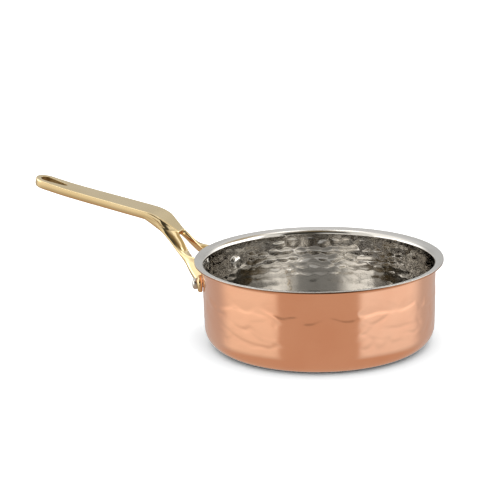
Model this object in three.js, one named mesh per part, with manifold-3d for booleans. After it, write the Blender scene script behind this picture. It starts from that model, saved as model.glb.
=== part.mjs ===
// Shallow hammered saucepan: a copper shell lined with steel, and a forked brass handle held by two rivets.
// Millimetres, +Z up. The origin is the centre of the base's underside and the handle points along -X.
import * as THREE from "three";
import { mergeVertices } from "three/addons/utils/BufferGeometryUtils.js";
import Module from "manifold-3d";

const wasm = await Module();
wasm.setup();

// Body
const BODY_DIAMETER = 150;
const BODY_HEIGHT = 55.7;
const LIP_REACH = 5;
const WALL_TAPER = 0.7;
const BASE_CORNER = 11.9;
const COPPER_WALL = 0.7;
const STEEL_WALL = 0.5;
const BOND_GAP = 0.05;
const FLARE_RADIUS = 1.6;
const LIP_SLOPE = 10;

// Rivets
const RIVET_DROP = 16.2;
const RIVET_SPACING = 54.5;
const SHANK_DIAMETER = 4.8;
const SHANK_CLEARANCE = 0.1;
const INNER_HEAD_DIAMETER = 9.2;
const INNER_HEAD_HEIGHT = 2.5;
const OUTER_HEAD_DIAMETER = 7.2;
const OUTER_HEAD_HEIGHT = 3.5;
const OUTER_HEAD_CROWN = 1.2;
const HEAD_GAP = 0.1;

// Handle bar. Reaches are measured out from the body's wall, and rises up from the rivets. The top face
// bends at one corner, which is eased, and runs on as a tongue down to the crotch of the fork.
const HANDLE_REACH = 126.3;
const BAR_TIP_WIDTH = 16.4;
const BAR_ROOT_WIDTH = 18.8;
const BAR_THICKNESS = 5.3;
const BAR_SLOPE = 10.8;
const TIP_LIFT = 1.1;
const TIP_LIFT_RUN = 35;
const BEND_REACH = 34.5;
const BEND_RISE = 38.7;
const BEND_EASE = 11;
const CROTCH_REACH = 20.5;
const CROTCH_RISE = 27;
const TONGUE_WIDTH = 8.6;
const TONGUE_THICKNESS = 3.6;
const TOP_EDGE_RADIUS = 0.9;
const UNDER_EDGE_RADIUS = 1.9;

// Hanging hole: a teardrop whose round end is near the handle's tip.
const HOLE_DIAMETER = 8.4;
const HOLE_TIP_MARGIN = 3.4;
const HOLE_TAIL_DIAMETER = 3.6;
const HOLE_LENGTH = 19;

// Legs of the fork: where each leg's middle runs, and its section there. The knuckle is under the bend, and
// the fork beside the crotch.
const KNUCKLE_DROP = 5.2;
const KNUCKLE = {
  reach: BEND_REACH,
  spread: 5.2,
  rise: BEND_RISE - KNUCKLE_DROP,
  width: 8.4,
  thickness: 4.3,
};
const FORK_SETBACK = 2.5;
const FORK_DROP = 2.9;
const FORK = {
  reach: CROTCH_REACH + FORK_SETBACK,
  spread: 7.7,
  rise: CROTCH_RISE - FORK_DROP,
  width: 8.4,
  thickness: 3.7,
};
const SHIN = { reach: 14.3, spread: 11.2, rise: 14.6, width: 7.2, thickness: 3.4 };
const ANKLE = { reach: 6.2, spread: 17.8, rise: 7.2, width: 8.4, thickness: 3.9 };
const SHIN_PITCH = 49;
const SHIN_ROLL = 26;
const FOOT_DIAMETER = 11.4;
const FOOT_THICKNESS = 3.1;
const FOOT_GAP = 0.3;
const SPOT_FACE_MARGIN = 0.5;

// Facets, and how far a cutting shape runs past what it cuts
const CUT_OVERSHOOT = 4;
const MERGE_DISTANCE = 1e-4;
const BODY_SIDES = 72;
const RIVET_SIDES = 24;
const CORNER_STEPS = 5;
const FLARE_STEPS = 3;
const LEG_STEPS_PER_SPAN = 6;
const TIP_STEPS = 6;
const LIFT_STEPS = 3;
const BEND_STEPS = 6;
const DOME_STEPS = 4;
const HOLE_STEPS = 12;
const EDGE_TURNS = [0, 45, 90];

// An edge's rounding takes at most this share of the bar's smaller side.
const LARGEST_EDGE_SHARE = 0.45;
// The bar does this share of its narrowing, from its full width to the tongue's, in the bend.
const NARROWED_IN_BEND = 0.5;

const BODY_RADIUS = BODY_DIAMETER / 2;
const RIM_RADIUS = BODY_RADIUS + LIP_REACH;
const BASE_RADIUS = BODY_RADIUS - WALL_TAPER;
const PLY_STACK = COPPER_WALL + BOND_GAP + STEEL_WALL;
const RIVET_HEIGHT = BODY_HEIGHT - RIVET_DROP;
const RIVET_TURN = Math.asin(RIVET_SPACING / BODY_DIAMETER);
const radians = THREE.MathUtils.degToRad;
const lerp = THREE.MathUtils.lerp;

// Joins and cuts

function solid(geometry) {
  const bare = geometry.clone();
  bare.deleteAttribute("normal");
  bare.deleteAttribute("uv");
  const merged = mergeVertices(bare, MERGE_DISTANCE);
  const corners = merged.index.array;
  const kept = [];
  for (let i = 0; i < corners.length; i += 3) {
    const [a, b, c] = corners.slice(i, i + 3);
    if (a !== b && b !== c && c !== a) kept.push(a, b, c);
  }
  const vertProperties = merged.attributes.position.array;
  return new wasm.Manifold(new wasm.Mesh({ numProp: 3, vertProperties, triVerts: new Uint32Array(kept) }));
}

function geometryOf(body) {
  const mesh = body.getMesh();
  const geometry = new THREE.BufferGeometry();
  geometry.setAttribute("position", new THREE.BufferAttribute(mesh.vertProperties, mesh.numProp));
  geometry.setIndex(new THREE.BufferAttribute(mesh.triVerts, 1));
  geometry.computeVertexNormals();
  return geometry;
}

// Turns a profile of (radius, height) points into a solid of revolution about Z.
function turned(profile, sides) {
  return new THREE.LatheGeometry(profile, sides).rotateX(Math.PI / 2);
}

// Lays a shape made along +Z, with Z as its distance from the pan's axis, along the rivet's line on one side:
// +1 for the handle's left, which is +Y, and -1 for its right.
function alongRivet(geometry, side) {
  geometry.rotateY(Math.PI / 2);
  geometry.rotateZ(Math.PI - side * RIVET_TURN);
  return geometry.translate(0, 0, RIVET_HEIGHT);
}

function rivetCylinder(radius, from, to, side) {
  const cylinder = new THREE.CylinderGeometry(radius, radius, to - from, RIVET_SIDES);
  cylinder.rotateX(Math.PI / 2).translate(0, 0, (from + to) / 2);
  return alongRivet(cylinder, side);
}

// Skins a run of closed rings, and closes both ends.
function skinned(rings) {
  const sides = rings[0].length;
  const indices = [];
  for (let ring = 0; ring + 1 < rings.length; ring++) {
    for (let i = 0; i < sides; i++) {
      const next = (i + 1) % sides;
      const [a, b] = [ring * sides + i, ring * sides + next];
      indices.push(a, b + sides, b, a, a + sides, b + sides);
    }
  }
  const last = (rings.length - 1) * sides;
  for (let i = 1; i + 1 < sides; i++) {
    indices.push(0, i, i + 1);
    indices.push(last, last + i + 1, last + i);
  }
  return new THREE.BufferGeometry().setFromPoints(rings.flat()).setIndex(indices);
}

// Body

// One face of the body's wall, from the base's centre to the rim's edge, at a depth inside the copper's
// outer face.
function wallFace(depth) {
  const slope = radians(LIP_SLOPE);
  const flareCentre = BODY_RADIUS + FLARE_RADIUS;
  const lipRadius = FLARE_RADIUS + PLY_STACK;
  const lipRun = (RIM_RADIUS - flareCentre + lipRadius * Math.sin(slope)) / Math.cos(slope);
  const flareHeight = BODY_HEIGHT - lipRadius * Math.cos(slope) - lipRun * Math.sin(slope);
  const points = [new THREE.Vector2(0, depth)];
  for (let i = 0; i <= CORNER_STEPS; i++) {
    const turn = (i / CORNER_STEPS) * (Math.PI / 2);
    const round = BASE_CORNER - depth;
    const radius = BASE_RADIUS - BASE_CORNER + round * Math.sin(turn);
    points.push(new THREE.Vector2(radius, BASE_CORNER - round * Math.cos(turn)));
  }
  for (let i = 0; i <= FLARE_STEPS; i++) {
    const turn = (i / FLARE_STEPS) * (Math.PI / 2 - slope);
    const round = FLARE_RADIUS + depth;
    const radius = flareCentre - round * Math.cos(turn);
    points.push(new THREE.Vector2(radius, flareHeight + round * Math.sin(turn)));
  }
  const end = points.at(-1);
  points.push(new THREE.Vector2(RIM_RADIUS, end.y + (RIM_RADIUS - end.x) * Math.tan(slope)));
  return points;
}

// The copper's outer radius at a height on the upright part of the wall.
function wallRadius(height) {
  const [foot, head] = wallFace(0).slice(CORNER_STEPS + 1, CORNER_STEPS + 3);
  return lerp(foot.x, head.x, (height - foot.y) / (head.y - foot.y));
}

function ply(outerDepth, innerDepth) {
  const outline = [...wallFace(outerDepth), ...wallFace(innerDepth).reverse()];
  let body = solid(turned(outline, BODY_SIDES));
  for (const side of [-1, 1]) {
    const bore = SHANK_DIAMETER / 2 + SHANK_CLEARANCE;
    body = body.subtract(solid(rivetCylinder(bore, BODY_RADIUS / 2, RIM_RADIUS, side)));
  }
  return geometryOf(body);
}

function copperShell() {
  return ply(0, COPPER_WALL);
}

function steelLiner() {
  return ply(COPPER_WALL + BOND_GAP, PLY_STACK);
}

// Rivets

const FOOT_SEAT = wallRadius(RIVET_HEIGHT) + FOOT_GAP;
const FOOT_FACE = FOOT_SEAT + FOOT_THICKNESS;

// The inner head's flat underside clears the hollow wall where its edge comes closest.
function innerHeadSeat() {
  const radius = INNER_HEAD_DIAMETER / 2;
  const wall = wallRadius(RIVET_HEIGHT - radius) - PLY_STACK;
  return Math.sqrt(wall ** 2 - radius ** 2) - HEAD_GAP;
}

function rivet(side) {
  const inside = innerHeadSeat();
  const outside = FOOT_FACE + HEAD_GAP;
  const profile = [];
  for (let i = 0; i <= DOME_STEPS; i++) {
    const turn = (i / DOME_STEPS) * (Math.PI / 2);
    const height = inside - INNER_HEAD_HEIGHT * Math.cos(turn);
    profile.push(new THREE.Vector2((INNER_HEAD_DIAMETER / 2) * Math.sin(turn), height));
  }
  profile.push(new THREE.Vector2(SHANK_DIAMETER / 2, inside));
  profile.push(new THREE.Vector2(SHANK_DIAMETER / 2, outside));
  for (let i = 0; i <= DOME_STEPS; i++) {
    const turn = (i / DOME_STEPS) * (Math.PI / 2);
    const height = outside + OUTER_HEAD_HEIGHT - OUTER_HEAD_CROWN * (1 - Math.sin(turn));
    const radius = (OUTER_HEAD_DIAMETER / 2) * Math.cos(turn);
    if (i === 0) profile.push(new THREE.Vector2(radius, outside));
    profile.push(new THREE.Vector2(radius, height));
  }
  return geometryOf(solid(alongRivet(turned(profile, RIVET_SIDES), side)));
}

// Handle

// A point beside the pan: reach out from the wall along the handle, spread to one side, and rise above the
// rivets.
function beside(reach, spread, rise) {
  return new THREE.Vector3(-(BODY_RADIUS + reach), spread, RIVET_HEIGHT + rise);
}

// The direction that a face looks in when it leans towards the pan by pitch and to +Y by roll.
function facing(pitch, roll) {
  const level = Math.cos(radians(roll));
  return new THREE.Vector3(
    Math.sin(radians(pitch)) * level,
    Math.sin(radians(roll)),
    Math.cos(radians(pitch)) * level,
  );
}

// A bar's section across its run: crisp edges on top, rounder ones underneath.
function barSection(centre, run, face, width, thickness) {
  const up = face.clone().addScaledVector(run, -face.dot(run)).normalize();
  const across = new THREE.Vector3().crossVectors(run, up).normalize();
  const limit = LARGEST_EDGE_SHARE * Math.min(width, thickness);
  const over = Math.min(TOP_EDGE_RADIUS, limit);
  const under = Math.min(UNDER_EDGE_RADIUS, limit);
  const corners = [
    [1, 1, over, 0],
    [-1, 1, over, 90],
    [-1, -1, under, 180],
    [1, -1, under, 270],
  ];
  return corners.flatMap(([x, y, radius, from]) =>
    EDGE_TURNS.map((turn) => {
      const angle = radians(from + turn);
      const outward = x * (width / 2 - radius) + radius * Math.cos(angle);
      const upward = y * (thickness / 2 - radius) + radius * Math.sin(angle);
      return centre.clone().addScaledVector(across, outward).addScaledVector(up, upward);
    }),
  );
}

// The middle of the straight bar's top face, which lifts gently towards the tip.
function barTop(reach) {
  const lifted = Math.max(0, reach - HANDLE_REACH + TIP_LIFT_RUN) / TIP_LIFT_RUN;
  const rise = BEND_RISE + (reach - BEND_REACH) * Math.tan(radians(BAR_SLOPE));
  return beside(reach, 0, rise + TIP_LIFT * lifted ** 2);
}

// Stations from the tip to the crotch: a point on the middle of the top face, and the width and thickness
// there.
function barStations() {
  const round = BAR_TIP_WIDTH / 2;
  const roundEnd = HANDLE_REACH - round;
  const bendStart = BEND_REACH + BEND_EASE * Math.cos(radians(BAR_SLOPE));
  const stations = [];
  for (let i = 1; i < TIP_STEPS; i++) {
    const turn = (i / TIP_STEPS) * (Math.PI / 2);
    const point = barTop(HANDLE_REACH - round * (1 - Math.cos(turn)));
    stations.push({ point, width: BAR_TIP_WIDTH * Math.sin(turn), thickness: BAR_THICKNESS });
  }
  const reaches = [bendStart];
  for (let i = 0; i <= LIFT_STEPS; i++) {
    reaches.unshift(lerp(HANDLE_REACH - TIP_LIFT_RUN, roundEnd, i / LIFT_STEPS));
  }
  for (const reach of reaches) {
    const width = lerp(BAR_TIP_WIDTH, BAR_ROOT_WIDTH, (roundEnd - reach) / (roundEnd - bendStart));
    stations.push({ point: barTop(reach), width, thickness: BAR_THICKNESS });
  }
  const bend = barTop(BEND_REACH);
  const crotch = beside(CROTCH_REACH, 0, CROTCH_RISE);
  const bendEnd = bend.clone().addScaledVector(crotch.clone().sub(bend).normalize(), BEND_EASE);
  const bow = new THREE.QuadraticBezierCurve3(barTop(bendStart), bend, bendEnd);
  for (let i = 1; i <= BEND_STEPS; i++) {
    const share = i / BEND_STEPS;
    const width = lerp(BAR_ROOT_WIDTH, TONGUE_WIDTH, share * NARROWED_IN_BEND);
    const thickness = lerp(BAR_THICKNESS, TONGUE_THICKNESS, share * NARROWED_IN_BEND);
    stations.push({ point: bow.getPoint(share), width, thickness });
  }
  stations.push({ point: crotch, width: TONGUE_WIDTH, thickness: TONGUE_THICKNESS });
  return stations;
}

function bar() {
  const stations = barStations();
  const sideways = new THREE.Vector3(0, 1, 0);
  const rings = stations.map(({ point, width, thickness }, i) => {
    const before = stations[Math.max(i - 1, 0)].point;
    const after = stations[Math.min(i + 1, stations.length - 1)].point;
    const run = after.clone().sub(before).normalize();
    const face = new THREE.Vector3().crossVectors(run, sideways).normalize();
    const centre = point.clone().addScaledVector(face, -thickness / 2);
    return barSection(centre, run, face, width, thickness);
  });
  return solid(skinned(rings));
}

// One leg, from inside the bar's root to the middle of its foot.
function leg(side) {
  const footMiddle = FOOT_SEAT + FOOT_THICKNESS / 2;
  const rootRise = BEND_RISE + BEND_EASE * Math.sin(radians(BAR_SLOPE)) - BAR_THICKNESS / 2;
  const root = { width: BAR_ROOT_WIDTH / 2, thickness: KNUCKLE.thickness };
  const foot = { width: FOOT_DIAMETER / 2, thickness: FOOT_THICKNESS };
  const sizes = [root, KNUCKLE, FORK, SHIN, ANKLE, foot];
  const inward = new THREE.Vector3(Math.cos(RIVET_TURN), -side * Math.sin(RIVET_TURN), 0);
  const middle = new THREE.CatmullRomCurve3([
    beside(BEND_REACH + BEND_EASE, (side * BAR_ROOT_WIDTH) / 4, rootRise),
    ...[KNUCKLE, FORK, SHIN, ANKLE].map((at) => beside(at.reach, side * at.spread, at.rise)),
    new THREE.Vector3(0, 0, RIVET_HEIGHT).addScaledVector(inward, -footMiddle),
  ]);
  const barFace = facing(BAR_SLOPE, 0);
  const shinFace = facing(SHIN_PITCH, side * SHIN_ROLL);
  const shinSpan = sizes.indexOf(SHIN);
  const lastSpan = sizes.length - 1;
  const rings = [];
  for (let i = 0; i <= lastSpan * LEG_STEPS_PER_SPAN; i++) {
    const at = i / LEG_STEPS_PER_SPAN;
    const from = Math.min(Math.floor(at), lastSpan - 1);
    const width = lerp(sizes[from].width, sizes[from + 1].width, at - from);
    const thickness = lerp(sizes[from].thickness, sizes[from + 1].thickness, at - from);
    const face = new THREE.Vector3();
    if (at <= shinSpan) face.lerpVectors(barFace, shinFace, at / shinSpan);
    else face.lerpVectors(shinFace, inward, (at - shinSpan) / (lastSpan - shinSpan));
    const share = at / lastSpan;
    rings.push(barSection(middle.getPoint(share), middle.getTangent(share), face, width, thickness));
  }
  return solid(skinned(rings));
}

function hangingHole() {
  const big = HOLE_DIAMETER / 2;
  const small = HOLE_TAIL_DIAMETER / 2;
  const spacing = HOLE_LENGTH - big - small;
  const lean = Math.asin((big - small) / spacing);
  const outline = new THREE.Shape();
  outline.absarc(0, 0, big, Math.PI / 2 - lean, Math.PI * 1.5 + lean, false);
  outline.absarc(spacing, 0, small, -Math.PI / 2 + lean, Math.PI / 2 - lean, false);
  const depth = BAR_THICKNESS + 2 * CUT_OVERSHOOT;
  const cut = { depth, bevelEnabled: false, curveSegments: HOLE_STEPS };
  const cutter = new THREE.ExtrudeGeometry(outline, cut);
  cutter.translate(big - HOLE_LENGTH / 2, 0, -CUT_OVERSHOOT - BAR_THICKNESS);
  cutter.rotateY(radians(BAR_SLOPE));
  const middle = barTop(HANDLE_REACH - HOLE_TIP_MARGIN - HOLE_LENGTH / 2);
  return solid(cutter.translate(middle.x, middle.y, middle.z));
}

// The space that the pan's body takes, grown by the gap that the feet keep to it.
function bodyEnvelope() {
  const outline = [...wallFace(-FOOT_GAP), new THREE.Vector2(RIM_RADIUS + FOOT_GAP, BODY_HEIGHT + FOOT_GAP)];
  outline.push(new THREE.Vector2(0, BODY_HEIGHT + FOOT_GAP));
  return solid(turned(outline, BODY_SIDES));
}

function handle() {
  let body = bar();
  for (const side of [-1, 1]) {
    const foot = rivetCylinder(FOOT_DIAMETER / 2, FOOT_SEAT - FOOT_THICKNESS / 2, FOOT_FACE, side);
    body = body.add(leg(side)).add(solid(foot));
  }
  for (const side of [-1, 1]) {
    const spotRadius = OUTER_HEAD_DIAMETER / 2 + SPOT_FACE_MARGIN;
    const clearOfHead = FOOT_FACE + OUTER_HEAD_HEIGHT + CUT_OVERSHOOT;
    const spotFace = rivetCylinder(spotRadius, FOOT_FACE, clearOfHead, side);
    const bore = rivetCylinder(SHANK_DIAMETER / 2 + SHANK_CLEARANCE, BODY_RADIUS / 2, clearOfHead, side);
    body = body.subtract(solid(spotFace)).subtract(solid(bore));
  }
  return geometryOf(body.subtract(bodyEnvelope()).subtract(hangingHole()));
}

// Assembly

const copper = { color: 0xc98260, roughness: 0.22, metalness: 1 };
const linerSteel = { color: 0xc4c2bd, roughness: 0.12, metalness: 1 };
const brass = { color: 0xd8b45c, roughness: 0.18, metalness: 1 };
const rivetSteel = { color: 0xb9b7b2, roughness: 0.25, metalness: 1 };

function piece(name, geometry, finish) {
  const mesh = new THREE.Mesh(geometry, new THREE.MeshStandardMaterial(finish));
  mesh.name = name;
  return mesh;
}

const saucepan = new THREE.Group();
saucepan.name = "saucepan";
saucepan.add(
  piece("copper_shell", copperShell(), copper),
  piece("steel_liner", steelLiner(), linerSteel),
  piece("handle", handle(), brass),
  piece("rivet_right", rivet(-1), rivetSteel),
  piece("rivet_left", rivet(1), rivetSteel),
);

export default saucepan;
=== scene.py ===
"""A hammered copper saucepan with a steel liner and a forked brass handle.

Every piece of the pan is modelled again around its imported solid, at its true size, with the hammer marks,
flares and rounded edges of the real metal, and gets a metal finish. Lengths are in metres.
"""

import logging
import math
import random
from dataclasses import dataclass, field
from enum import Enum

import bmesh
import bpy
import numpy as np
from mathutils import Matrix, Vector


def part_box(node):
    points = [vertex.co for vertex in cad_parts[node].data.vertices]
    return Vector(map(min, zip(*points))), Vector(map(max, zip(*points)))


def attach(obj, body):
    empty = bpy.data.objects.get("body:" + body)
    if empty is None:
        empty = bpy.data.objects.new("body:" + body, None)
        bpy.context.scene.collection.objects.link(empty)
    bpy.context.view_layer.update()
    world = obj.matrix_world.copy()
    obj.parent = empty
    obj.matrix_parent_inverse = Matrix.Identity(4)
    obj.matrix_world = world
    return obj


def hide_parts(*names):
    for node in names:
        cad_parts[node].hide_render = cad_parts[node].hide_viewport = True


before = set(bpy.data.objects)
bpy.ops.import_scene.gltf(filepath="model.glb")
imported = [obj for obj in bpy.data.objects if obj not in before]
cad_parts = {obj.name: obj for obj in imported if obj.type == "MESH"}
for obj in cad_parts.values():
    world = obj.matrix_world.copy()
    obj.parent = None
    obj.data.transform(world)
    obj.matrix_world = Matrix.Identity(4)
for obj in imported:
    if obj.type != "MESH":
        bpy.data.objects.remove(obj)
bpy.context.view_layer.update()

BODY = "root"
MM = 0.001
MERGE = 0.001 * MM
WELD = 0.01 * MM
NOISE_DETAIL = 3.0
CLOUD_EDGES = (0.42, 0.72)
BUMP_STRENGTH = 0.6
WHITE = (1.0, 1.0, 1.0)
RAYS = ("Camera", "Glossy", "Transmission")
Colour = tuple[float, float, float]
log = logging.getLogger("saucepan")


class Side(Enum):
    """A side of the handle, as seen by the person who holds it."""

    LEFT = 1
    RIGHT = -1


class Skin(Enum):
    """The face of a ply that carries the hammer marks."""

    OUTER = 1
    INNER = -1


# Shader nodes


class Value:
    """One output socket of a shader node, with Python's arithmetic on it."""

    def __init__(self, net: "Net", socket: bpy.types.NodeSocket) -> None:
        """Wraps an output socket of a tree."""
        self.net = net
        self.socket = socket

    def math(self, operation: str, *values: "Value | float") -> "Value":
        """Adds a Math node, with its inputs in order."""
        return self.net.node("ShaderNodeMath", {"operation": operation}, dict(enumerate(values)))

    def __add__(self, other: "Value | float") -> "Value":
        """Adds two values."""
        return self.math("ADD", self, other)

    def __radd__(self, other: float) -> "Value":
        """Adds a number and a value."""
        return self.math("ADD", other, self)

    def __sub__(self, other: "Value | float") -> "Value":
        """Takes the other value off this one."""
        return self.math("SUBTRACT", self, other)

    def __rsub__(self, other: float) -> "Value":
        """Takes this value off a number."""
        return self.math("SUBTRACT", other, self)

    def __mul__(self, other: "Value | float") -> "Value":
        """Multiplies two values."""
        return self.math("MULTIPLY", self, other)

    def __rmul__(self, other: float) -> "Value":
        """Multiplies a number and a value."""
        return self.math("MULTIPLY", other, self)

    def __abs__(self) -> "Value":
        """Gives the size of the value without its sign."""
        return self.math("ABSOLUTE", self)

    def rise(self, low: float, high: float) -> "Value":
        """Climbs smoothly from 0 to 1.

        Args:
            low: The value that gives 0.
            high: The value that gives 1, which may be below low.

        Returns:
            The eased value.
        """
        if low > high:
            return 1 - self.rise(high, low)
        settings = {"interpolation_type": "SMOOTHSTEP"}
        return self.net.node("ShaderNodeMapRange", settings, {0: self, 1: low, 2: high})

    def within(self, low: float, high: float, ease: float) -> "Value":
        """Gives 1 between two limits and 0 outside them, with edges as wide as ease either way."""
        return self.rise(low - ease, low + ease) * self.rise(high + ease, high - ease)


class Net:
    """The node tree of a material or of the world."""

    def __init__(self, tree: bpy.types.NodeTree) -> None:
        """Empties a tree and takes it over."""
        tree.nodes.clear()
        self.tree = tree

    def node(
        self,
        kind: str,
        settings: dict | None = None,
        inputs: dict | None = None,
        output: int | str = 0,
    ) -> Value | None:
        """Adds any node.

        Args:
            kind: The node's type.
            settings: Its properties, which are set first.
            inputs: Plain values or links, by the name or number of their socket.
            output: The name or number of the output that is returned.

        Returns:
            The chosen output, or None for a node that has none.
        """
        made = self.tree.nodes.new(kind)
        for name, setting in (settings or {}).items():
            setattr(made, name, setting)
        for name, given in (inputs or {}).items():
            if isinstance(given, Value):
                self.tree.links.new(given.socket, made.inputs[name])
            else:
                made.inputs[name].default_value = given
        return Value(self, made.outputs[output]) if len(made.outputs) else None

    def blend(self, share: Value | float, low: Value | Colour, high: Value | Colour) -> Value:
        """Mixes two colours by the share of the second one."""
        colours = {0: share, 6: opaque(low), 7: opaque(high)}
        return self.node("ShaderNodeMix", {"data_type": "RGBA"}, colours, output=2)

    def scaled(self, vector: Value, scale: tuple[float, float, float]) -> Value:
        """Multiplies a vector by one number per axis."""
        return self.node("ShaderNodeVectorMath", {"operation": "MULTIPLY"}, {0: vector, 1: scale})

    def noise(self, vector: Value, scale: float) -> Value:
        """Adds cloudy noise about 0.5, with its grains per unit of the vector."""
        inputs = {"Vector": vector, "Scale": scale, "Detail": NOISE_DETAIL}
        return self.node("ShaderNodeTexNoise", None, inputs)


def opaque(colour: Value | Colour) -> Value | tuple[float, float, float, float]:
    """Gives a plain colour its alpha, and leaves a link alone."""
    return colour if isinstance(colour, Value) else (*colour, 1.0)


# Finishes


@dataclass(frozen=True)
class MetalFinish:
    """A bare metal with polishing marks and a little tarnish.

    Attributes:
        name: The material's name.
        colour: The metal's own reflection colour.
        tarnish: The colour where the surface is duller.
        tarnish_scale: Cloudy patches per metre.
        roughness: The polished roughness.
        roughness_range: How much the marks add to it.
        grain: Polishing marks per metre along X, Y and Z.
        grain_depth: The depth of the marks in the bump.
    """

    name: str
    colour: Colour
    tarnish: Colour
    tarnish_scale: float
    roughness: float
    roughness_range: float
    grain: tuple[float, float, float]
    grain_depth: float

    def roughness_here(self, net: Net, place: Value, marks: Value) -> Value:
        """Gives the roughness at a place, where the polishing marks run from 0 to 1."""
        return self.roughness + self.roughness_range * marks

    def material(self) -> bpy.types.Material:
        """Makes the material.

        Returns:
            The material.
        """
        made = bpy.data.materials.new(self.name)
        made.use_nodes = True
        net = Net(made.node_tree)
        place = net.node("ShaderNodeTexCoord", output="Object")
        clouds = net.noise(place, self.tarnish_scale).rise(*CLOUD_EDGES)
        marks = net.noise(net.scaled(place, self.grain), 1.0)
        bump = {"Height": marks, "Distance": self.grain_depth, "Strength": BUMP_STRENGTH}
        inputs = {
            "Base Color": net.blend(clouds, self.colour, self.tarnish),
            "Roughness": self.roughness_here(net, place, marks),
            "Metallic": 1.0,
            "Normal": net.node("ShaderNodeBump", None, bump),
        }
        shader = net.node("ShaderNodeBsdfPrincipled", None, inputs)
        net.node("ShaderNodeOutputMaterial", None, {"Surface": shader})
        return made


@dataclass(frozen=True)
class LinerFinish(MetalFinish):
    """Mirror-polished steel with a satin, turned lip and a turned floor.

    Attributes:
        satin: The roughness added on the lip.
        lip_height: The height at which the satin lip starts.
        floor_height: The height below which the floor's turning marks show.
        floor_satin: The roughness added on the floor.
        ease: How far from those heights the finish changes.
    """

    satin: float = 0.15
    lip_height: float = 53.6 * MM
    floor_height: float = 2.2 * MM
    floor_satin: float = 0.06
    ease: float = 0.5 * MM

    def roughness_here(self, net: Net, place: Value, marks: Value) -> Value:
        """Adds the satin lip and floor to the polished roughness.

        Args:
            net: The material's tree.
            place: The object's coordinates.
            marks: The polishing marks, from 0 to 1.

        Returns:
            The roughness.
        """
        height = net.node("ShaderNodeSeparateXYZ", None, {0: place}, output=2)
        lip = height.rise(self.lip_height - self.ease, self.lip_height + self.ease)
        floor = height.rise(self.floor_height, self.floor_height - self.ease)
        return super().roughness_here(net, place, marks) + self.satin * lip + self.floor_satin * floor


COPPER = MetalFinish(
    name="polished_hammered_copper",
    colour=(0.93, 0.53, 0.36),
    tarnish=(0.90, 0.49, 0.325),
    tarnish_scale=28.0,
    roughness=0.12,
    roughness_range=0.05,
    grain=(60.0, 60.0, 2600.0),
    grain_depth=0.004 * MM,
)
# Painted shade: a dark copper on the lip's outer edge, standing in for the shade line under the lip.
COPPER_EDGE_SHADE = MetalFinish(
    name="copper_edge_painted_shade",
    colour=(0.36, 0.18, 0.10),
    tarnish=(0.26, 0.12, 0.06),
    tarnish_scale=60.0,
    roughness=0.16,
    roughness_range=0.06,
    grain=(60.0, 60.0, 2600.0),
    grain_depth=0.004 * MM,
)
LINER = LinerFinish(
    name="mirror_steel_with_satin_lip",
    colour=(0.60, 0.585, 0.56),
    tarnish=(0.57, 0.55, 0.525),
    tarnish_scale=60.0,
    roughness=0.05,
    roughness_range=0.03,
    grain=(80.0, 80.0, 1800.0),
    grain_depth=0.0005 * MM,
)
BRASS = MetalFinish(
    name="cast_polished_brass",
    colour=(0.735, 0.59, 0.35),
    tarnish=(0.70, 0.55, 0.31),
    tarnish_scale=45.0,
    roughness=0.09,
    roughness_range=0.05,
    grain=(70.0, 1500.0, 1500.0),
    grain_depth=0.006 * MM,
)
# A darker, rougher brass for the hanging hole's wall.
HOLE_BRASS = MetalFinish(
    name="dark_rough_hole_brass",
    colour=(0.42, 0.30, 0.14),
    tarnish=(0.30, 0.20, 0.08),
    tarnish_scale=300.0,
    roughness=0.42,
    roughness_range=0.10,
    grain=(700.0, 700.0, 700.0),
    grain_depth=0.02 * MM,
)
RIVET_STEEL = MetalFinish(
    name="polished_rivet_steel",
    colour=(0.60, 0.59, 0.57),
    tarnish=(0.55, 0.535, 0.51),
    tarnish_scale=120.0,
    roughness=0.18,
    roughness_range=0.06,
    grain=(900.0, 900.0, 900.0),
    grain_depth=0.004 * MM,
)


# Mesh helpers


class ProfilePen:
    """Draws a lathe profile in the XZ plane of a bmesh, one stretch after another."""

    def __init__(self, bm: bmesh.types.BMesh, radius: float, height: float) -> None:
        """Sets the pen down at a distance from the axis and a height."""
        self.bm = bm
        self.tip = bm.verts.new((radius, 0, height))

    def line(self, radius: float, height: float, parts: int = 1) -> None:
        """Draws a straight stretch.

        Args:
            radius: The end's distance from the axis.
            height: The end's height.
            parts: The number of edges in the stretch.
        """
        start = self.tip.co.copy()
        end = Vector((radius, 0, height))
        for part in range(1, parts + 1):
            self.tip = bmesh.ops.extrude_vert_indiv(self.bm, verts=[self.tip])["verts"][0]
            self.tip.co = start.lerp(end, part / parts)

    def arc(self, radius: float, height: float, turn: float, parts: int) -> None:
        """Draws an arc.

        Args:
            radius: The centre's distance from the axis.
            height: The centre's height.
            turn: The angle, positive from upwards to outwards.
            parts: The number of edges in the arc.
        """
        swept = bmesh.ops.spin(
            self.bm,
            geom=[self.tip],
            cent=(radius, 0, height),
            axis=(0, 1, 0),
            angle=turn,
            steps=parts,
        )
        self.tip = next(item for item in swept["geom_last"] if isinstance(item, bmesh.types.BMVert))


def clamp(value: float) -> float:
    """Keeps a value between 0 and 1."""
    return min(1.0, max(0.0, value))


def turn_from(middle: float, angle: np.ndarray) -> np.ndarray:
    """Gives angles as turns from a middle one, at most half a turn either way."""
    return (angle - middle + math.pi) % math.tau - math.pi


def mirrored(bm: bmesh.types.BMesh, axis: str, merge: float) -> None:
    """Mirrors a whole mesh along an axis, and merges the points that meet their image within a distance."""
    everything = bm.verts[:] + bm.edges[:] + bm.faces[:]
    bmesh.ops.mirror(bm, geom=everything, matrix=Matrix.Identity(4), merge_dist=merge, axis=axis)


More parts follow.
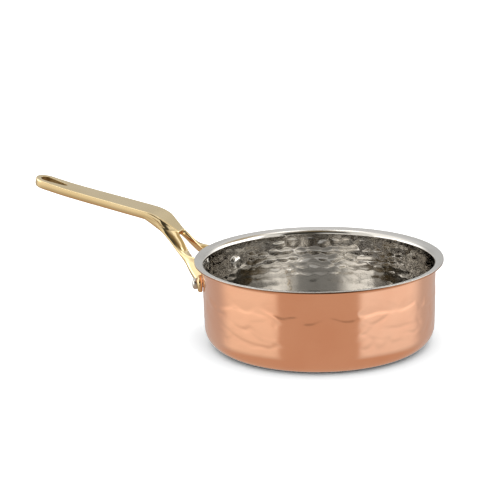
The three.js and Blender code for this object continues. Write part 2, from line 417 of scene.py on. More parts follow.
def turned(bm: bmesh.types.BMesh, steps: int) -> None:
    """Spins the profile in a mesh through a quarter turn, and mirrors that into a closed body about Z.

    Args:
        bm: The mesh, which holds only the profile.
        steps: The number of steps round the axis.
    """
    profile = bm.verts[:] + bm.edges[:]
    bmesh.ops.spin(bm, geom=profile, axis=(0, 0, 1), angle=math.pi / 2, steps=steps // 4)
    for axis in ("X", "Y"):
        mirrored(bm, axis, MERGE)
    bmesh.ops.remove_doubles(bm, verts=bm.verts, dist=MERGE)
    bmesh.ops.dissolve_degenerate(bm, edges=bm.edges, dist=MERGE)
    bmesh.ops.recalc_face_normals(bm, faces=bm.faces)


def smooth_shaded(bm: bmesh.types.BMesh, sharp: float) -> None:
    """Shades a mesh smoothly, apart from its sharp edges.

    Args:
        bm: The mesh.
        sharp: The angle above which an edge stays sharp.
    """
    for face in bm.faces:
        face.smooth = True
    for edge in bm.edges:
        edge.smooth = edge.calc_face_angle(0.0) < sharp


def loose_object(name: str, bm: bmesh.types.BMesh) -> bpy.types.Object:
    """Makes a plain object of a mesh, and frees the mesh.

    Args:
        name: The object's name.
        bm: The mesh.

    Returns:
        The object.
    """
    mesh = bpy.data.meshes.new(name)
    bm.to_mesh(mesh)
    bm.free()
    made = bpy.data.objects.new(name, mesh)
    bpy.context.scene.collection.objects.link(made)
    return made


def piece(name: str, bm: bmesh.types.BMesh, finishes: list[MetalFinish], node: str) -> None:
    """Makes a finished piece of a mesh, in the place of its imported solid.

    Args:
        name: The piece's name.
        bm: Its mesh, which is freed.
        finishes: Its finishes, in the order of its faces' numbers.
        node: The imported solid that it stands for.
    """
    made = loose_object(name, bm)
    for finish in finishes:
        made.data.materials.append(finish.material())
    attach(made, BODY)
    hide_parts(node)
    log.info("%s: %d faces", name, len(made.data.polygons))


# The pan's body


@dataclass(frozen=True)
class Blow:
    """One blow of the hammer: its row from the top, its place, and the size and outline of its mark."""

    row: int
    angle: float
    height: float
    size: float
    depth: float
    lean: float
    phase: float


@dataclass(frozen=True)
class HammerWork:
    """Rows of hammer blows round the wall.

    Attributes:
        seed: The seed of the blows' scatter.
        top: The height of the top row's middle.
        bottom: The lowest height of a row.
        row_pitch: The height between rows.
        spacing: The distance between blows in a row.
        half_width: Half the width of one blow's mark.
        half_height: Half the height of one blow's mark.
        depth: The depth of one blow's mark.
        fade: The height above bottom over which the marks fade in.
        scatter: The blows' scatter, as a share of their pitch and spacing.
        lean: The most that a mark leans to either side.
        wobble: How uneven a mark's outline is, as a share of its size.
        step: How far a mark's foot stands out over the row below, or 0 where the marks only meet.
        head_step: The same for the top row.
        step_run: The width of the step at a mark's edge.
        uneven: The least and most of a mark's relative size and depth.
        span: How far from its middle a mark is looked for, as a share of its longer half.
    """

    seed: int
    top: float
    bottom: float
    row_pitch: float
    spacing: float
    half_width: float
    half_height: float
    depth: float
    fade: float
    scatter: float
    lean: float
    wobble: float
    step: float = 0.0
    head_step: float = 0.0
    step_run: float = 0.0
    uneven: tuple[float, float] = (0.75, 1.25)
    span: float = 1.5

    def blows(self, radius: float) -> list[Blow]:
        """Scatters the blows.

        Args:
            radius: The wall's radius.

        Returns:
            The blows.
        """
        draw = random.Random(self.seed)
        count = round(math.tau * radius / self.spacing)
        found = []
        for row in range(int((self.top - self.bottom) / self.row_pitch) + 1):
            for number in range(count):
                shift = number + 0.5 * (row % 2) + draw.uniform(-self.scatter, self.scatter)
                drop = row + draw.uniform(-self.scatter, self.scatter)
                blow = Blow(
                    row=row,
                    angle=math.tau * shift / count,
                    height=self.top - drop * self.row_pitch,
                    size=draw.uniform(*self.uneven),
                    depth=draw.uniform(*self.uneven),
                    lean=draw.uniform(-self.lean, self.lean),
                    phase=draw.uniform(0, math.tau),
                )
                found.append(blow)
        return found

    def mark(self, blow: Blow, across: np.ndarray, along: np.ndarray) -> tuple[np.ndarray, np.ndarray]:
        """Measures points against one blow's mark.

        Args:
            blow: The blow.
            across: The points' distances from it round the pan.
            along: The points' heights above it.

        Returns:
            How far out in the mark the points lie, 1 at its edge, and how far up, from -1 at its foot to 1.
        """
        lean = (math.cos(blow.lean), math.sin(blow.lean))
        wide = (across * lean[0] + along * lean[1]) / (blow.size * self.half_width)
        tall = (along * lean[0] - across * lean[1]) / (blow.size * self.half_height)
        turn = np.arctan2(tall, wide) + blow.phase
        uneven = np.sin(2 * turn) + np.sin(3 * turn + blow.phase)
        return np.hypot(wide, tall) * (1 + self.wobble * uneven), tall

    def lift(self, angle: np.ndarray, height: np.ndarray, radius: float) -> np.ndarray:
        """Works out how far the blows push the wall out.

        Args:
            angle: The points' angles round the pan.
            height: The points' heights.
            radius: The wall's radius.

        Returns:
            The push at each point.
        """
        push = np.zeros(angle.shape)
        small, large = sorted((self.half_width, self.half_height))
        for blow in reversed(self.blows(radius)):
            near = np.abs(height - blow.height) < self.span * large
            across = turn_from(blow.angle, angle[near]) * radius
            away, tall = self.mark(blow, across, height[near] - blow.height)
            crown = (1 - away**2) * blow.depth * self.depth
            if self.step:
                climb = np.clip((1 - away) * blow.size * small / self.step_run, 0, 1)
                step = self.step if blow.row else self.head_step
                scale = crown + 0.5 * (1 - tall) * blow.depth * step
                push[near] += climb * climb * (3 - 2 * climb) * (scale - push[near])
            else:
                push[near] = np.maximum(push[near], crown)
        return push * np.clip((height - self.bottom) / self.fade, 0, 1) ** 2


@dataclass(frozen=True)
class PanWall:
    """The upright section that the pan's two plies share.

    Attributes:
        rim_radius: The rim's radius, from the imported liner.
        height: The rim's height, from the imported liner.
        lip_reach: How far the lip stands out from the wall.
        taper: How far the wall leans in at its foot.
        corner: The radius of the base's corner, on the outside.
        flare: The radius of the lip's bend, on the outside.
        lip_slope: The lip's slope, rising outwards.
        stack: The thickness of both plies and the bond between them.
        plain_radius: The radius round a rivet within which the wall stays plain.
        turns: The number of steps round the pan.
        sharp: The angle above which an edge stays sharp.
    """

    rim_radius: float = field(default_factory=lambda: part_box("steel_liner")[1].x)
    height: float = field(default_factory=lambda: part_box("steel_liner")[1].z)
    lip_reach: float = 5 * MM
    taper: float = 0.7 * MM
    corner: float = 11.9 * MM
    flare: float = 2.2 * MM
    lip_slope: float = math.radians(10)
    stack: float = 1.25 * MM
    plain_radius: float = 6 * MM
    turns: int = 512
    sharp: float = math.radians(50)

    @property
    def radius(self) -> float:
        """Gives the wall's outer radius below the lip."""
        return self.rim_radius - self.lip_reach

    @property
    def foot_radius(self) -> float:
        """Gives the wall's outer radius above the base's corner."""
        return self.radius - self.taper

    @property
    def flare_radius(self) -> float:
        """Gives the distance of the lip's bend from the axis."""
        return self.radius + self.flare

    @property
    def flare_height(self) -> float:
        """Gives the height of the lip's bend."""
        bend = self.flare + self.stack
        run = self.rim_radius - self.flare_radius + bend * math.sin(self.lip_slope)
        return self.height - bend * math.cos(self.lip_slope) - run * math.tan(self.lip_slope)

    def outer_radius(self, height: np.ndarray | float) -> np.ndarray | float:
        """Gives the wall's outer radius at one height or more on the upright stretch."""
        climbed = (height - self.corner) / (self.flare_height - self.corner)
        return self.foot_radius + self.taper * climbed

    def lip_point(self, depth: float, radius: float) -> tuple[float, float]:
        """Gives a point on the lip.

        Args:
            depth: How deep the point lies inside the copper's outer face.
            radius: Its distance from the axis.

        Returns:
            Its radius and height.
        """
        bend = self.flare + depth
        start = self.flare_radius - bend * math.sin(self.lip_slope)
        level = self.flare_height + bend * math.cos(self.lip_slope)
        return radius, level + (radius - start) * math.tan(self.lip_slope)

    def ply(self, outer: float, inner: float, shown: Skin) -> bmesh.types.BMesh:
        """Turns one ply.

        Args:
            outer: The depth of its outer face inside the copper's outer face.
            inner: The depth of its inner face.
            shown: The face that shows, which gets the finer mesh.

        Returns:
            The ply's closed mesh.
        """
        fine = {"floor": 14, "corner": 14, "wall": 66, "bend": 10, "lip": 5}
        coarse = {"floor": 3, "corner": 6, "wall": 12, "bend": 4, "lip": 2}
        outside, inside = (fine, coarse) if shown is Skin.OUTER else (coarse, fine)
        bm = bmesh.new()
        floor_radius = self.foot_radius - self.corner
        flare_turn = math.pi / 2 - self.lip_slope
        edge = (inner - outer) / 2
        edge_radius, edge_height = self.lip_point((inner + outer) / 2, self.rim_radius - edge)
        across = (edge * math.sin(self.lip_slope), edge * math.cos(self.lip_slope))
        pen = ProfilePen(bm, 0, outer)
        pen.line(floor_radius, outer, outside["floor"])
        pen.arc(floor_radius, self.corner, -math.pi / 2, outside["corner"])
        pen.line(self.radius - outer, self.flare_height, outside["wall"])
        pen.arc(self.flare_radius, self.flare_height, flare_turn, outside["bend"])
        pen.line(edge_radius + across[0], edge_height - across[1], outside["lip"])
        pen.arc(edge_radius, edge_height, -math.pi, 6)
        bend = self.flare + inner
        pen.line(*self.lip_point(inner, self.flare_radius - bend * math.sin(self.lip_slope)), inside["lip"])
        pen.arc(self.flare_radius, self.flare_height, -flare_turn, inside["bend"])
        pen.line(self.foot_radius - inner, self.corner, inside["wall"])
        pen.arc(floor_radius, self.corner, math.pi / 2, inside["corner"])
        pen.line(0, inner, inside["floor"])
        turned(bm, self.turns)
        return bm

    def hammered(
        self,
        bm: bmesh.types.BMesh,
        work: HammerWork,
        middle: float,
        shown: Skin,
        rest: float = 0.0,
        spared: "tuple[RivetLine, ...]" = (),
    ) -> None:
        """Moves a ply's shown face under the hammer.

        Args:
            bm: The ply's mesh.
            work: The blows.
            middle: The depth that parts the shown face from the hidden one.
            shown: The face that shows.
            rest: How far the hammered band starts inside the plain wall.
            spared: The rivets round which the wall stays plain.
        """
        spots = np.array([spot.co for spot in bm.verts])
        radius = np.hypot(spots[:, 0], spots[:, 1])
        height = spots[:, 2]
        depth = self.outer_radius(height) - radius
        upright = (height > work.bottom) & (height < self.flare_height)
        on_wall = depth < 3 * self.stack
        on_skin = upright & on_wall & ((middle - depth) * shown.value > 0)
        chosen = np.flatnonzero(on_skin)
        angle = np.arctan2(spots[chosen, 1], spots[chosen, 0])
        push = work.lift(angle, height[chosen], self.radius)
        for line in spared:
            aside = turn_from(line.angle, angle) * self.radius
            away = np.hypot(aside, height[chosen] - line.height)
            plain = 1 - np.clip((away - self.plain_radius) / self.plain_radius, 0, 1)
            push += plain * (push.mean() - push)
        below = np.clip((self.flare_height - height[chosen]) / (self.flare_height - work.top), 0, 1)
        above = np.clip((height[chosen] - work.bottom) / work.fade, 0, 1)
        grown = 1 + (push - rest * np.minimum(below, above)) / radius[chosen]
        bm.verts.ensure_lookup_table()
        for number, growth in zip(chosen, grown):
            spot = bm.verts[number].co
            spot.x *= growth
            spot.y *= growth


@dataclass(frozen=True)
class CopperShell:
    """The outer ply, of copper, with hammer marks that lap like scales, and a dark copper painted on the
    lip's edge as painted shade under the lip.

    Its blows are the marks on its outside.
    """

    wall: PanWall
    thickness: float = 0.7 * MM
    blows: HammerWork = HammerWork(
        seed=19,
        top=40.8 * MM,
        bottom=5.0 * MM,
        row_pitch=5.2 * MM,
        spacing=15.5 * MM,
        half_width=10.5 * MM,
        half_height=5.6 * MM,
        depth=0.05 * MM,
        fade=14 * MM,
        scatter=0.4,
        lean=math.radians(12),
        wobble=0.13,
        step=0.20 * MM,
        head_step=-0.22 * MM,
        step_run=2.8 * MM,
    )

    def build(self) -> None:
        """Builds the shell and gives it its finish."""
        bm = self.wall.ply(0, self.thickness, Skin.OUTER)
        self.wall.hammered(bm, self.blows, self.thickness / 2, Skin.OUTER)
        smooth_shaded(bm, self.wall.sharp)
        # The faces at the lip's outer edge get the dark copper of painted shade, for the shade line under
        # the lip.
        for face in bm.faces:
            out = face.calc_center_median().to_2d().length
            face.material_index = int(out > self.wall.rim_radius - self.thickness)
        piece("hammered_copper_shell", bm, [COPPER, COPPER_EDGE_SHADE], "copper_shell")


@dataclass(frozen=True)
class SteelLiner:
    """The inner ply, of steel, dished all over by the hammer, with the plain lip.

    Its blows are the dishes on its inside, and rest is how far their band starts inside the plain wall.
    """

    wall: PanWall
    rivets: "tuple[RivetLine, ...]"
    thickness: float = 0.5 * MM
    rest: float = 0.3 * MM
    blows: HammerWork = HammerWork(
        seed=14,
        top=46.0 * MM,
        bottom=6.0 * MM,
        row_pitch=5.2 * MM,
        spacing=9.5 * MM,
        half_width=6.2 * MM,
        half_height=3.2 * MM,
        depth=0.24 * MM,
        fade=31 * MM,
        scatter=0.2,
        lean=math.radians(9),
        wobble=0.05,
    )

    def build(self) -> None:
        """Builds the liner and gives it its finish."""
        inner = self.wall.stack
        bm = self.wall.ply(inner - self.thickness, inner, Skin.INNER)
        middle = inner - self.thickness / 2
        self.wall.hammered(bm, self.blows, middle, Skin.INNER, self.rest, self.rivets)
        smooth_shaded(bm, self.wall.sharp)
        piece("hammered_steel_liner", bm, [LINER], "steel_liner")


# Rivets


@dataclass(frozen=True)
class RivetLine:
    """The line that one rivet lies on, square to the wall.

    Its turn is its angle from the handle, round the pan.
    """

    side: Side
    turn: float
    height: float

    @classmethod
    def on(cls, side: Side) -> "RivetLine":
        """Finds a rivet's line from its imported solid.

        Args:
            side: The rivet's side.

        Returns:
            The line.
        """
        low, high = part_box(f"rivet_{side.name.lower()}")
        middle = (low + high) / 2
        return cls(side, math.atan2(abs(middle.y), -middle.x), middle.z)

    @property
    def angle(self) -> float:
        """Gives the rivet's angle round the pan, from +X towards +Y."""
        return math.pi - self.side.value * self.turn

    @property
    def matrix(self) -> Matrix:
        """Gives the placing of a shape made along Z, with Z as its distance from the pan's axis."""
        lean = Matrix.Rotation(math.pi / 2, 4, "Y")
        swing = Matrix.Rotation(self.angle, 4, "Z")
        return Matrix.Translation((0, 0, self.height)) @ swing @ lean


@dataclass(frozen=True)
class Rivet:
    """A steel rivet with a domed head inside the pan and a drum-shaped one on the foot.

    Attributes:
        foot_face: The distance of the foot's outer face from the pan's axis.
        shank: The shank's radius.
        inner_head: The inner head's radius, and inner_rise its height.
        outer_head: The outer head's radius, and outer_rise its height.
        crown: The rise of the outer head's crown.
        edge: The rounding of the outer head's edges.
        rim: The bevel of the inner head's edge.
        button: The power that makes the inner head flatter than a ball, at 1, with steeper sides.
        gap: The gap under the heads.
        turns: The number of steps round the rivet.
        dome_parts: The number of edges across half the inner head, and crown_parts across the outer one's.
        sharp: The angle above which an edge stays sharp.
    """

    line: RivetLine
    wall: PanWall
    foot_face: float
    shank: float = 2.4 * MM
    inner_head: float = 4.6 * MM
    inner_rise: float = 2.5 * MM
    outer_head: float = 3.6 * MM
    outer_rise: float = 3.5 * MM
    crown: float = 1.2 * MM
    edge: float = 0.5 * MM
    rim: float = 0.1 * MM
    button: float = 0.75
    gap: float = 0.1 * MM
    turns: int = 64
    dome_parts: int = 18
    crown_parts: int = 8
    sharp: float = math.radians(40)

    def build(self) -> None:
        """Builds the rivet and gives it its finish."""
        inner_wall = self.wall.outer_radius(self.line.height) - self.wall.stack
        seat = math.sqrt(inner_wall**2 - self.inner_head**2) - self.gap
        face = self.foot_face + self.gap
        drum = face + self.outer_rise - self.crown
        bm = bmesh.new()
        pen = ProfilePen(bm, 0, seat - self.inner_rise)
        for part in range(1, self.dome_parts + 1):
            turn = math.pi / 2 * part / self.dome_parts
            out = math.sin(turn) ** self.button
            lift = max(0.0, math.cos(turn)) ** self.button
            pen.line(self.inner_head * out, seat - self.rim - (self.inner_rise - self.rim) * lift)
        pen.line(self.inner_head - self.rim, seat)
        pen.line(self.shank, seat)
        pen.line(self.shank, face, 2)
        pen.line(self.outer_head - self.edge, face, 2)
        pen.arc(self.outer_head - self.edge, face + self.edge, -math.pi / 2, 4)
        pen.line(self.outer_head, drum - self.edge, 3)
        pen.arc(self.outer_head - self.edge, drum - self.edge, -math.pi / 3, 4)
        start = pen.tip.co.copy()
        top = face + self.outer_rise
        for part in range(1, self.crown_parts + 1):
            turn = math.pi / 2 * part / self.crown_parts
            pen.line(start.x * math.cos(turn), start.z + (top - start.z) * math.sin(turn))
        turned(bm, self.turns)
        bmesh.ops.transform(bm, matrix=self.line.matrix, verts=bm.verts)
        smooth_shaded(bm, self.sharp)
        name = self.line.side.name.lower()
        piece(f"domed_rivet_{name}", bm, [RIVET_STEEL], f"rivet_{name}")


# Handle


@dataclass(frozen=True)
class Station:
    """A station of a leg: its middle, and the leg's width and thickness there."""

    reach: float
    spread: float
    rise: float
    width: float
    thickness: float

    def mixed(self, others: "list[Station]", weights: list[float]) -> "Station":
        """Mixes this station with others.

        Args:
            others: The other stations.
            weights: The weight of this station, then of the others.

        Returns:
            The mixed station.
        """
        every = [self, *others]
        names = ("reach", "spread", "rise", "width", "thickness")
        sums = [sum(weight * getattr(one, name) for weight, one in zip(weights, every)) for name in names]
        return Station(*sums)


def catmull_rom(share: float) -> list[float]:
    """Gives the four weights of a curve through its points.

    Args:
        share: The share of the span between the two middle points.

    Returns:
        The weights of the four points.
    """
    squared = share * share
    cubed = squared * share
    return [
        -0.5 * cubed + squared - 0.5 * share,
        1.5 * cubed - 2.5 * squared + 1,
        -1.5 * cubed + 2 * squared + 0.5 * share,
        0.5 * cubed - 0.5 * squared,
    ]


# Points of the bar's rounded side: their inset from the side, on a full span, and their depth.
BULLNOSE = {
    "face_top": (1.5 * MM, 0.0),
    "edge_top": (0.25 * MM, 0.0),
    "edge_side": (0.0, 0.7 * MM),
    "step_foot": (-0.02 * MM, 1.4 * MM),
    "leg_in": (-0.02 * MM, 1.9 * MM),
    "leg_out": (0.0, 2.5 * MM),
    "leg_edge": (0.08 * MM, 3.2 * MM),
    "leg_side": (0.3 * MM, 4.3 * MM),
    "under_edge": (0.75 * MM, 5.6 * MM),
    "under_out": (2.8 * MM, 5.9 * MM),
}

# Points of a leg's section, as shares of its half width and half thickness: at the fork, and at the foot.
LEG_RING = {
    "step_foot": ((-1.0, 0.75), (-1.0, 0.75)),
    "leg_in": ((-0.88, 1.0), (-0.88, 1.0)),
    "leg_out": ((0.08, 0.93), (0.78, 1.05)),
    "leg_edge": ((0.64, 0.32), (1.14, 0.95)),
    "leg_side": ((1.04, -0.45), (0.74, 0.05)),
    "under_edge": ((0.88, -1.05), (0.40, -0.88)),
    "under_out": ((0.40, -1.15), (-0.05, -1.12)),
    "under_in": ((-0.40, -1.10), (-0.42, -1.08)),
    "under_root": ((-0.94, -0.95), (-0.80, -0.85)),
    "inside": ((-1.0, -0.20), (-1.0, -0.10)),
}
# Points of a leg's section beside the tongue: how far out they stay, as a share of the width that is free
# there, and how far they sink.
LEG_ROOT = {"leg_in": (0.06, 0.22), "leg_out": (0.3, 0.3), "leg_edge": (0.6, 0.0)}
# Sections of the bar, by their distance from its tip and then from the wall.
TIP_STOPS = (26.4 * MM, 38 * MM, 56 * MM)
WALL_STOPS = (58 * MM, 50 * MM)
# Sections of the bend: their share of it, or 2 at the crotch, their place along the leg, and their distance
# back from the crotch.
BEND_STOPS = (
    (0, 0),
    (0.22, 0.45),
    (0.44, 0.9),
    (0.62, 1.15),
    (0.76, 1.34),
    (0.9, 1.53),
    (1, 1.68),
    (2, 1.9, 1 * MM),
    (2, 2.0),
)
# Sections of the leg, by their place along it.
LEG_STOPS = (2.12, 2.35, 2.65, 3.0, 3.3, 3.6, 3.85, 4.1, 4.4, 4.7, 5.0)
# How far the tip's rounded side reaches past the end of its top.
NOSE_OVERHANG = 1.0 * MM


@dataclass(frozen=True)
class ForkedHandle:
    """A cast brass handle: a flat bar with a hanging hole, a bend, and a fork of two legs on round feet.

    The half on the handle's left is drawn as a cage of sections from the tip to the foot, and mirrored. The
    points of a section have names that say where they run along the handle. Sizes called reach lie along
    the handle from the wall, those called rise are heights above the rivets, and those called half lie
    across from its middle. A place along the leg is a number: 0 inside the bar's root, 1 at the knuckle,
    2 at the fork, 3 at the shin, 4 at the ankle and 5 at the foot's middle.
    """

    wall: PanWall
    line: RivetLine
    reach: float
    # The bar, whose tip curves up by tip_lift.
    bar_slope: float = math.radians(10.8)
    tip_lift: float = 1.7 * MM
    tip_lift_run: float = 35 * MM
    tip_radius: float = 8.2 * MM
    root_half: float = 9.4 * MM
    thickness: float = 5.9 * MM
    bullnose_span: float = 5.2 * MM
    # The bend, and the tongue that narrows from it to the crotch.
    bend_reach: float = 34.5 * MM
    bend_rise: float = 38.7 * MM
    bend_ease: float = 8 * MM
    bend_narrowing: float = 0.28
    crotch_reach: float = 20.5 * MM
    crotch_rise: float = 27 * MM
    tongue_half: float = 4.3 * MM
    tongue_draft: float = 0.5 * MM
    tongue_rim: float = 0.3
    tongue_edge: float = 0.3 * MM
    tongue_lean: float = 0.2
    under_rim: float = 0.4
    step_depth: float = 0.5 * MM
    root_depth: float = 0.6 * MM
    # The shares of the bend over which the legs part from the bar.
    emerge: tuple[float, float] = (0.1, 0.65)
    # The shares of the narrowing over which the step at the tongue's side runs out, and how much of it.
    flush: tuple[float, float] = (0.4, 0.7)
    flush_share: float = 0.7
    # The hanging hole, whose wall has normals that rise less than hole_level, and how deep its edge and the
    # top's edge stay tight.
    hole_radius: float = 4.2 * MM
    hole_margin: float = 3.4 * MM
    hole_tail: float = 1.8 * MM
    hole_length: float = 19 * MM
    hole_level: float = 0.6
    top_hold: float = 0.9 * MM
    hole_hold: float = 0.55 * MM
    # The legs. At the foot they have shares of its radius and thickness, called sole.
    knuckle: Station = Station(34.5 * MM, 5.2 * MM, 33.5 * MM, 8.4 * MM, 4.6 * MM)
    fork: Station = Station(23 * MM, 7.7 * MM, 24.1 * MM, 8.4 * MM, 4.4 * MM)
    shin: Station = Station(14.3 * MM, 11.2 * MM, 14.6 * MM, 7.2 * MM, 4.4 * MM)
    ankle: Station = Station(5.3 * MM, 17.3 * MM, 6.9 * MM, 8.6 * MM, 6.0 * MM)
    sole: tuple[float, float] = (1.3, 0.93)
    wedge_start: float = 2.8
    ankle_fill: float = 0.8
    ankle_place: float = 4.25
    shin_pitch: float = math.radians(49)
    shin_roll: float = math.radians(20)
    shin_place: float = 2.5
    shin_turn: float = 1.6
    tangent_step: float = 0.02
    # The feet, which are turned a little into the wall before the pan's space is cut away.
    foot_radius: float = 5.7 * MM
    foot_thickness: float = 3.1 * MM
    foot_gap: float = 0.3 * MM
    foot_edge: float = 1.4 * MM
    foot_sink: float = 0.2 * MM
    # The rivets' bores and the flats under their heads.
    bore: float = 2.5 * MM
    spot_face: float = 4.1 * MM
    # The mesh.
    cap_inset: float = 0.8 * MM
    levels: int = 2
    arc_parts: int = 6
    foot_turns: int = 64
    bore_turns: int = 48
    space_turns: int = 256
    sharp: float = math.radians(38)

    @property
    def foot_seat(self) -> float:
        """Gives the distance of the foot's inner face from the pan's axis."""
        return self.wall.outer_radius(self.line.height) + self.foot_gap

    @property
    def foot_face(self) -> float:
        """Gives the distance of the foot's outer face from the pan's axis."""
        return self.foot_seat + self.foot_thickness

    def beside(self, reach: float, spread: float, rise: float) -> Vector:
        """Gives a point by its reach from the wall, its spread to the left and its rise from the rivets."""
        return Vector((-(self.wall.radius + reach), spread, self.line.height + rise))

    def bar_rise(self, reach: float) -> float:
        """Gives the height of the bar's top above the rivets.

        Args:
            reach: The distance from the wall.

        Returns:
            The height there.
        """
        lifted = max(0.0, reach - self.reach + self.tip_lift_run) / self.tip_lift_run
        sloped = (reach - self.bend_reach) * math.tan(self.bar_slope)
        return self.bend_rise + sloped + self.tip_lift * lifted**2

    def bar_point(self, reach: float, spread: float, depth: float) -> Vector:
        """Gives a point of the straight bar.

        Args:
            reach: The distance from the wall of the top point that it lies under.
            spread: Its distance to the handle's left.
            depth: Its depth under the top face, square to it.

        Returns:
            The point.
        """
        step = 1 * MM
        slope = math.atan2(self.bar_rise(reach + step) - self.bar_rise(reach - step), 2 * step)
        face = Vector((math.sin(slope), 0, math.cos(slope)))
        return self.beside(reach, spread, self.bar_rise(reach)) - depth * face

    def bar_section(self, inner: tuple[float, float], outer: tuple[float, float]) -> dict[str, Vector]:
        """Draws a section of the straight bar, from its middle or its hole to its side.

        Args:
            inner: The reach and spread of the section's inner end.
            outer: The reach and spread of its outer end.

        Returns:
            The section's points by name.
        """
        start, end = Vector(inner), Vector(outer)
        span = (end - start).length
        rim = self.hole_hold / span
        narrow = min(1.0, span / self.bullnose_span) / span
        deep = self.thickness

        def at(share: float, depth: float) -> Vector:
            """Gives a point at a share of the section's span."""
            return self.bar_point(*start.lerp(end, share), depth)

        section = {
            "hole_top": at(0, self.hole_hold),
            "middle_top": at(0, 0),
            "rim_top": at(rim, 0),
            "under_in": at(0.34, deep),
            "under_root": at(0.26, deep),
            "inside": at(0.45, 0.6 * deep),
            "rim_under": at(rim, deep),
            "middle_under": at(0, deep),
            "hole_under": at(0, deep - self.hole_hold),
        }
        section.update({name: at(1 - inset * narrow, depth) for name, (inset, depth) in BULLNOSE.items()})
        return section

    def tip_sections(self) -> list[dict[str, Vector]]:
        """Draws the sections from the nose, round the hanging hole, to the hole's tail.

        Returns:
            The sections.
        """
        nose = self.reach - self.tip_radius
        big = self.reach - self.hole_margin - self.hole_radius
        tail = self.reach - self.hole_margin - self.hole_length + self.hole_tail
        lean = math.asin((self.hole_radius - self.hole_tail) / (big - tail))
        sections = []
        for degrees in (0, 22.5, 45, 67.5, 90):
            turn = math.radians(degrees)
            inner_turn = turn * (math.pi / 2 + lean) / (math.pi / 2)
            inner = (big + self.hole_radius * math.cos(inner_turn), self.hole_radius * math.sin(inner_turn))
            outer = (nose + self.tip_radius * math.cos(turn), self.tip_radius * math.sin(turn))
            sections.append(self.bar_section(inner, outer))
        waist = (big + tail) / 2
        middle = (self.hole_radius + self.hole_tail) / 2 / math.cos(lean)
        sections.append(self.bar_section((waist, middle), (waist, self.bar_half(waist))))
        for degrees in (90, 60, 30, 0):
            turn = math.radians(degrees) * (math.pi / 2 - lean) / (math.pi / 2)
            inner = (tail - self.hole_tail * math.cos(turn), self.hole_tail * math.sin(turn))
            outer = tail - self.hole_tail * math.cos(math.radians(degrees))
            sections.append(self.bar_section(inner, (outer, self.bar_half(outer))))
        return sections

    def bar_half(self, reach: float) -> float:
        """Gives half the straight bar's width.

        Args:
            reach: The distance from the wall.

        Returns:
            Half the width there.
        """
        nose = self.reach - self.tip_radius
        root = self.bend_reach + self.bend_ease * math.cos(self.bar_slope)
        share = (nose - reach) / (nose - root)
        return self.tip_radius + (self.root_half - self.tip_radius) * share

    def leg_station(self, at: float) -> Station:
        """Gives the leg's station on a curve through its knuckle, fork, shin and ankle.

        Args:
            at: The place along the leg.

        Returns:
            The station.
        """
        root_rise = self.bend_rise + self.bend_ease * math.sin(self.bar_slope) - self.thickness / 2
        root_reach = self.bend_reach + self.bend_ease
        root = Station(root_reach, self.root_half / 2, root_rise, self.root_half, self.knuckle.thickness)
        out = self.foot_seat + self.foot_thickness / 2
        foot_reach = out * math.cos(self.line.turn) - self.wall.radius
        foot_spread = out * math.sin(self.line.turn)
        width, thickness = self.sole[0] * self.foot_radius, self.sole[1] * self.foot_thickness
        foot = Station(foot_reach, foot_spread, 0, width, thickness)
        stops = [root, self.knuckle, self.fork, self.shin, self.ankle, foot]
        before = stops[0].mixed([stops[1]], [2, -1])
        after = stops[-1].mixed([stops[-2]], [2, -1])
        stops = [before, *stops, after]
        span = min(int(at), len(stops) - 4)
        return stops[span].mixed(stops[span + 1 : span + 4], catmull_rom(at - span))

    def leg_middle(self, at: float) -> Vector:
        """Gives the middle of the leg at a place along it."""
        here = self.leg_station(at)
        return self.beside(here.reach, here.spread, here.rise)

    def leg_face(self, at: float) -> Vector:
        """Gives the direction that the leg's top face looks in.

        Args:
            at: The place along the leg.

        Returns:
            The direction.
        """
        level, side = math.cos(self.shin_roll), math.sin(self.shin_roll)
        bar = Vector((math.sin(self.bar_slope), 0, math.cos(self.bar_slope)))
        shin = Vector((math.sin(self.shin_pitch) * level, side, math.cos(self.shin_pitch) * level))
        inward = Vector((math.cos(self.line.turn), -math.sin(self.line.turn), 0))
        if at <= self.shin_place:
            return bar.lerp(shin, at / self.shin_place)
        return shin.lerp(inward, min(1.0, (at - self.shin_place) / self.shin_turn))

    def leg_section(self, at: float, shelf: float | None = None) -> dict[str, Vector]:
        """Draws a section of the leg.

        Args:
            at: The place along the leg.
            shelf: Where the leg lies under the tongue, the tongue's half width.

        Returns:
            The section's points by name.
        """
        here = self.leg_station(at)
        centre = self.leg_middle(at)
        run = self.leg_middle(at + self.tangent_step) - self.leg_middle(at - self.tangent_step)
        run.normalize()
        face = self.leg_face(at)
        up = (face - face.dot(run) * run).normalized()
        across = up.cross(run).normalized()
        half = here.width / 2
        top = here.thickness / 2
        inner = -1.0
        if shelf is not None:
            middle = centre + top * up
            inner = max(inner, (shelf - middle.y) / across.y / half)
        wedge = clamp(at - self.wedge_start)
        fill = 1 + self.ankle_fill * clamp(1 - (at - self.ankle_place) ** 2)

        def spot(out: float, rise: float) -> Vector:
            """Gives a point of the section by its shares of the half width and half thickness."""
            return centre + out * half * across + rise * (fill if rise > 0 else 1) * top * up

        section = {}
        for name, (slim, wide) in LEG_RING.items():
            out, rise = Vector(slim).lerp(Vector(wide), wedge)
            hold, sink = LEG_ROOT.get(name, (0.0, 0.0))
            least = inner + hold * (1 - inner)
            section[name] = spot(max(least, out), rise - sink * (1 + inner))
        return section

